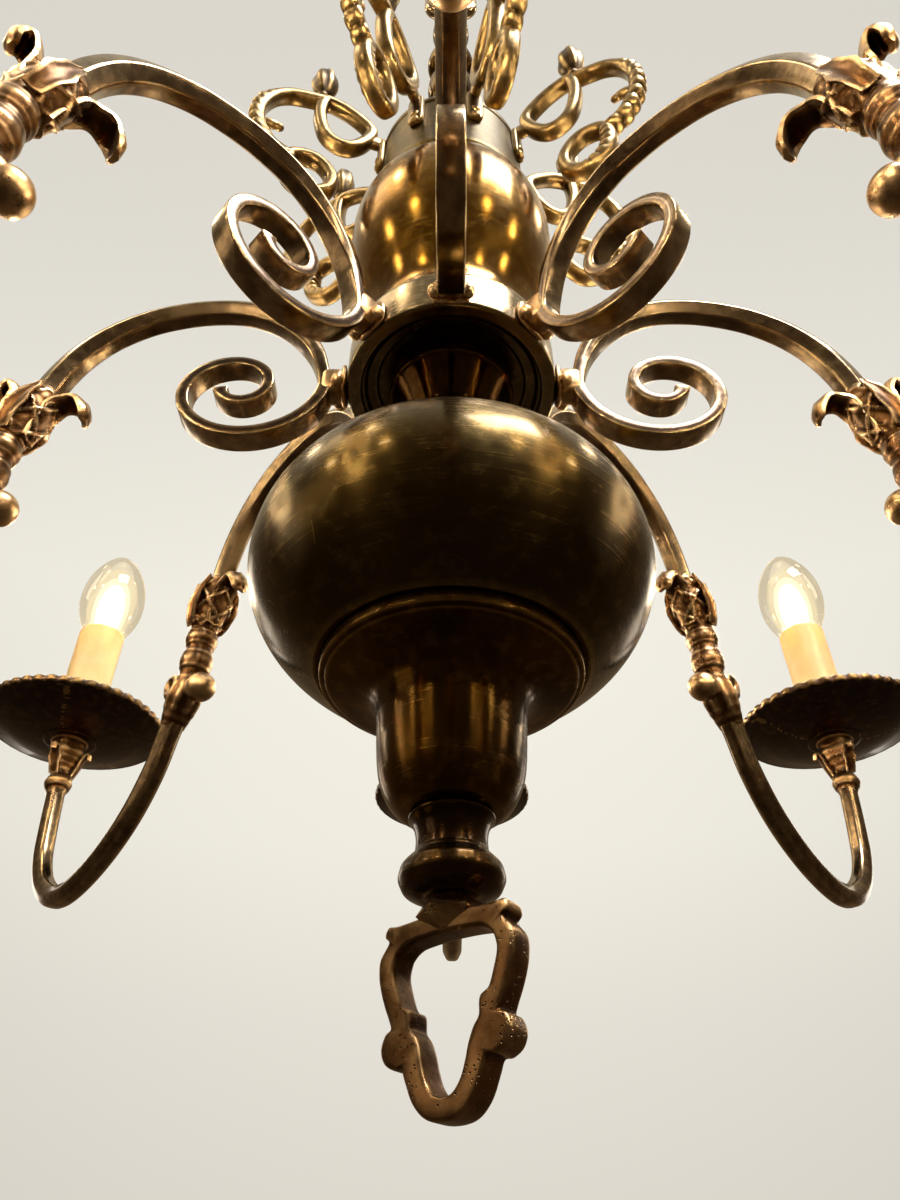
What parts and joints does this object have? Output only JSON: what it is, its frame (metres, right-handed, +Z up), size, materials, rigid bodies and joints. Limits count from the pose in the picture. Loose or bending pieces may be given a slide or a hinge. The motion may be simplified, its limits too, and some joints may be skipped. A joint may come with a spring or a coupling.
{
  "type": "multi arm chandelier",
  "caption": "Turned and cast brass chandelier: scrolled arms with drip pans and electric candles round a ball stem, under a crown of openwork scroll brackets, with a pull ring below.",
  "frame": {"origin": "inside top of the suspension loop, where the light hangs", "axes": "+Z up along the stem, -Y towards the front arm (arm_1), +X to the right seen from the front"},
  "size_m": [0.649, 0.649, 0.663],
  "materials": {
    "turned_brass": "aged polished brass with fine turning lines",
    "dark_brass": "dark patinated brass",
    "cast_brass": "cast brass, worn bright on the edges, brown in the hollows",
    "gilt_brass": "cast brass, brighter and yellower, roped edges",
    "pan_brass": "brass dish, dark underneath, bright rolled rim",
    "ivory_sleeve": "ivory candle sleeve, lit from inside",
    "porcelain": "glazed lamp holder",
    "bulb_glass": "clear glass, warm filament",
    "rod_steel": "threaded tube, zinc plated"
  },
  "bodies": {
    "hanger": {"suspension_loop": "cast_brass"},
    "chandelier": {"suspension_eye": "cast_brass", "central_rod": "rod_steel", "top_baluster": "turned_brass", "ornament_collar": "dark_brass", "ornament_bracket_1": "gilt_brass", "ornament_bracket_2": "gilt_brass", "ornament_bracket_3": "gilt_brass", "ornament_bracket_4": "gilt_brass", "ornament_bracket_5": "gilt_brass", "ornament_bracket_6": "gilt_brass", "ornament_bracket_7": "gilt_brass", "ornament_bracket_8": "gilt_brass", "upper_urn": "turned_brass", "arm_hub": "turned_brass", "lower_neck": "dark_brass", "lower_ball": "turned_brass", "bell_cup": "turned_brass", "bottom_finial": "turned_brass", "arm_1": "cast_brass", "arm_2": "cast_brass", "arm_3": "cast_brass", "arm_4": "cast_brass", "arm_5": "cast_brass", "arm_6": "cast_brass", "arm_7": "cast_brass", "arm_8": "cast_brass", "drip_pan_1": "pan_brass", "drip_pan_2": "pan_brass", "drip_pan_3": "pan_brass", "drip_pan_4": "pan_brass", "drip_pan_5": "pan_brass", "drip_pan_6": "pan_brass", "drip_pan_7": "pan_brass", "drip_pan_8": "pan_brass", "candle_sleeve_1": "ivory_sleeve", "candle_sleeve_2": "ivory_sleeve", "candle_sleeve_3": "ivory_sleeve", "candle_sleeve_4": "ivory_sleeve", "candle_sleeve_5": "ivory_sleeve", "candle_sleeve_6": "ivory_sleeve", "candle_sleeve_7": "ivory_sleeve", "candle_sleeve_8": "ivory_sleeve", "lamp_holder_1": "porcelain", "lamp_holder_2": "porcelain", "lamp_holder_3": "porcelain", "lamp_holder_4": "porcelain", "lamp_holder_5": "porcelain", "lamp_holder_6": "porcelain", "lamp_holder_7": "porcelain", "lamp_holder_8": "porcelain"},
    "ring": {"pull_ring": "cast_brass"},
    "lamp_1": {"bulb_1": "bulb_glass"},
    "lamp_2": {"bulb_2": "bulb_glass"},
    "lamp_3": {"bulb_3": "bulb_glass"},
    "lamp_4": {"bulb_4": "bulb_glass"},
    "lamp_5": {"bulb_5": "bulb_glass"},
    "lamp_6": {"bulb_6": "bulb_glass"},
    "lamp_7": {"bulb_7": "bulb_glass"},
    "lamp_8": {"bulb_8": "bulb_glass"}
  },
  "joints": [
    {"name": "hanging_swing", "type": "hinge", "parent": "hanger", "child": "chandelier", "pos_m": [0, 0, -0.0339], "axis": [1, 0, 0], "range_deg": [-20, 20]},
    {"name": "pull_ring_swivel", "type": "hinge", "parent": "chandelier", "child": "ring", "pos_m": [0, 0, -0.605], "axis": [0, 0, 1], "continuous": true},
    {"name": "bulb_1_lift", "type": "slide", "parent": "chandelier", "child": "lamp_1", "axis": [0, 0, 1], "range_m": [0, 0.03]},
    {"name": "bulb_2_lift", "type": "slide", "parent": "chandelier", "child": "lamp_2", "axis": [0, 0, 1], "range_m": [0, 0.03]},
    {"name": "bulb_3_lift", "type": "slide", "parent": "chandelier", "child": "lamp_3", "axis": [0, 0, 1], "range_m": [0, 0.03]},
    {"name": "bulb_4_lift", "type": "slide", "parent": "chandelier", "child": "lamp_4", "axis": [0, 0, 1], "range_m": [0, 0.03]},
    {"name": "bulb_5_lift", "type": "slide", "parent": "chandelier", "child": "lamp_5", "axis": [0, 0, 1], "range_m": [0, 0.03]},
    {"name": "bulb_6_lift", "type": "slide", "parent": "chandelier", "child": "lamp_6", "axis": [0, 0, 1], "range_m": [0, 0.03]},
    {"name": "bulb_7_lift", "type": "slide", "parent": "chandelier", "child": "lamp_7", "axis": [0, 0, 1], "range_m": [0, 0.03]},
    {"name": "bulb_8_lift", "type": "slide", "parent": "chandelier", "child": "lamp_8", "axis": [0, 0, 1], "range_m": [0, 0.03]}
  ]
}
